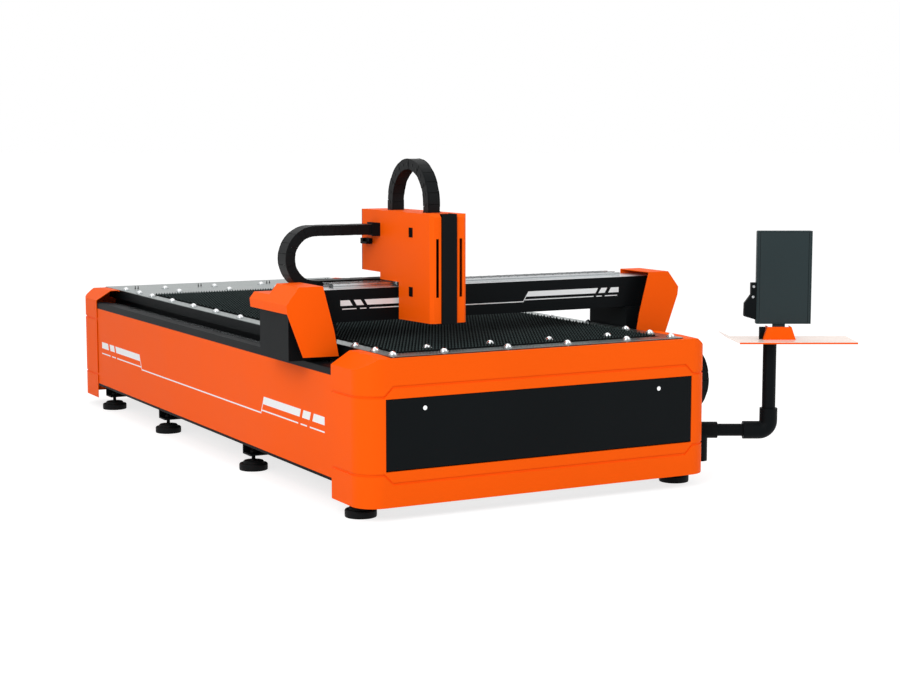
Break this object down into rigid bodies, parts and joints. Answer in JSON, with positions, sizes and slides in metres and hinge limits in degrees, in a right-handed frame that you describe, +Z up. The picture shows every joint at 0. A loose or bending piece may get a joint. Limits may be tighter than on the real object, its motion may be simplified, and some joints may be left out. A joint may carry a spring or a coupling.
{
  "type": "fiber laser cutting machine",
  "caption": "Flat-bed fiber laser cutting machine: slat table with ball units, moving gantry and carriage, cutting head and operator console on a swing arm.",
  "frame": {"origin": "on the floor, under the middle of the bed", "axes": "+X across the bed to the console side, +Y from the front door to the rear, +Z up"},
  "size_m": [3.296, 5.2607, 1.875],
  "materials": {
    "orange_paint": "gloss",
    "black_paint": "satin",
    "frame_paint": "matte",
    "slate_paint": "satin",
    "plate_steel": "satin",
    "rail_steel": "polished",
    "chrome": "mirror",
    "aluminium": "satin",
    "motor_black": "satin",
    "chain_plastic": "matte",
    "foot_iron": "matte",
    "copper": "polished"
  },
  "bodies": {
    "bed": {"bed_frame": "frame_paint", "levelling_feet": "foot_iron", "foot_brackets": "black_paint", "front_cap": "orange_paint", "rear_cap": "orange_paint", "side_panels": "orange_paint", "door_hinge_pins": "rail_steel", "rail_covers": "black_paint", "rail_ledges": "black_paint", "guide_rails": "rail_steel", "racks": "rail_steel", "table_plates": "plate_steel", "table_supports": "frame_paint", "support_slats": "plate_steel", "ball_cups": "plate_steel", "transfer_balls": "chrome", "slag_drawers": "frame_paint", "y_chain_trough": "black_paint", "y_chain_lower": "chain_plastic", "arm_bracket": "black_paint"},
    "door": {"front_door": "black_paint"},
    "lock_left": {"door_lock_left": "chrome"},
    "lock_right": {"door_lock_right": "chrome"},
    "y_bend": {"y_chain_bend": "chain_plastic"},
    "gantry": {"y_chain_upper": "chain_plastic", "y_chain_bracket": "black_paint", "gantry_beam": "aluminium", "beam_skin": "black_paint", "x_rails": "rail_steel", "x_rack": "rail_steel", "gantry_ends": "black_paint", "end_housings": "orange_paint", "cable_tray": "aluminium", "y_motors": "motor_black", "y_blocks": "rail_steel", "x_chain_lower": "chain_plastic"},
    "drive_left": {"pinion_left": "rail_steel"},
    "drive_right": {"pinion_right": "rail_steel"},
    "x_bend": {"x_chain_bend": "chain_plastic"},
    "carriage": {"x_chain_upper": "chain_plastic", "carriage_cover": "orange_paint", "carriage_back": "black_paint", "carriage_base": "aluminium", "carriage_brackets": "black_paint", "x_blocks": "rail_steel", "x_motor": "motor_black", "z_drive": "rail_steel", "z_chain": "chain_plastic"},
    "drive_x": {"x_pinion": "rail_steel"},
    "lift_screw": {"z_screw": "rail_steel"},
    "z_head": {"z_slide": "rail_steel", "z_band": "black_paint", "cutting_head": "aluminium", "nozzle": "copper"},
    "console_arm": {"arm_sleeve": "black_paint", "arm_pipe": "black_paint"},
    "console": {"console_pole": "black_paint", "console_shelf": "orange_paint", "monitor_stand": "orange_paint"},
    "monitor_body": {"monitor": "slate_paint"}
  },
  "joints": [
    {"name": "gantry_slide", "type": "slide", "parent": "bed", "child": "gantry", "axis": [0, 1, 0], "range_m": [-0.05, 2.95], "deforming": ["y_chain_lower", "y_chain_upper"]},
    {"name": "y_bend_slide", "type": "slide", "parent": "bed", "child": "y_bend", "axis": [0, 1, 0], "range_m": [-0.025, 1.475]},
    {"name": "pinion_left_turn", "type": "hinge", "parent": "gantry", "child": "drive_left", "pos_m": [-1.0044, -1.61, 0.764], "axis": [0, 0, 1], "range_deg": [-10570, 180]},
    {"name": "pinion_right_turn", "type": "hinge", "parent": "gantry", "child": "drive_right", "pos_m": [1.0044, -1.61, 0.764], "axis": [0, 0, 1], "range_deg": [-180, 10570]},
    {"name": "carriage_slide", "type": "slide", "parent": "gantry", "child": "carriage", "axis": [1, 0, 0], "range_m": [-0.295, 1.205], "deforming": ["x_chain_lower", "x_chain_upper"]},
    {"name": "x_bend_slide", "type": "slide", "parent": "gantry", "child": "x_bend", "axis": [1, 0, 0], "range_m": [-0.1475, 0.6025]},
    {"name": "x_pinion_turn", "type": "hinge", "parent": "carriage", "child": "drive_x", "pos_m": [-0.455, -1.6686, 1.182], "axis": [0, 0, 1], "range_deg": [-4320, 1060]},
    {"name": "z_slide", "type": "slide", "parent": "carriage", "child": "z_head", "axis": [0, 0, 1], "range_m": [-0.08, 0.04], "deforming": ["z_chain"]},
    {"name": "screw_turn", "type": "hinge", "parent": "carriage", "child": "lift_screw", "pos_m": [-0.455, -1.838, 1.25], "axis": [0, 0, 1], "range_deg": [-1445, 2885]},
    {"name": "door_swing", "type": "hinge", "parent": "bed", "child": "door", "pos_m": [0, -2.44, 0.28], "axis": [1, 0, 0], "range_deg": [0, 100]},
    {"name": "lock_left_turn", "type": "hinge", "parent": "door", "child": "lock_left", "pos_m": [-0.74, -2.45, 0.59], "axis": [0, 1, 0], "range_deg": [0, 90]},
    {"name": "lock_right_turn", "type": "hinge", "parent": "door", "child": "lock_right", "pos_m": [0.74, -2.45, 0.59], "axis": [0, 1, 0], "range_deg": [0, 90]},
    {"name": "arm_swing", "type": "hinge", "parent": "bed", "child": "console_arm", "pos_m": [1.18, -2.245, 0.29], "axis": [0, 0, 1], "range_deg": [-35, 60]},
    {"name": "console_swivel", "type": "hinge", "parent": "console_arm", "child": "console", "pos_m": [1.53186, -2.43525, 0.6], "axis": [0, 0, 1], "range_deg": [-90, 90]},
    {"name": "monitor_tilt", "type": "hinge", "parent": "console", "child": "monitor_body", "pos_m": [1.57452, -2.45832, 0.88], "axis": [0.8796, -0.4756, 0], "range_deg": [-15, 10]}
  ],
  "couplings": [
    {"joint": "y_bend_slide", "follows": "gantry_slide", "ratio": 0.5},
    {"joint": "pinion_left_turn", "follows": "gantry_slide", "rad_per_m": -62.5},
    {"joint": "pinion_right_turn", "follows": "gantry_slide", "rad_per_m": 62.5},
    {"joint": "x_bend_slide", "follows": "carriage_slide", "ratio": 0.5},
    {"joint": "x_pinion_turn", "follows": "carriage_slide", "rad_per_m": -62.5},
    {"joint": "screw_turn", "follows": "z_slide", "rad_per_m": -628.32}
  ]
}
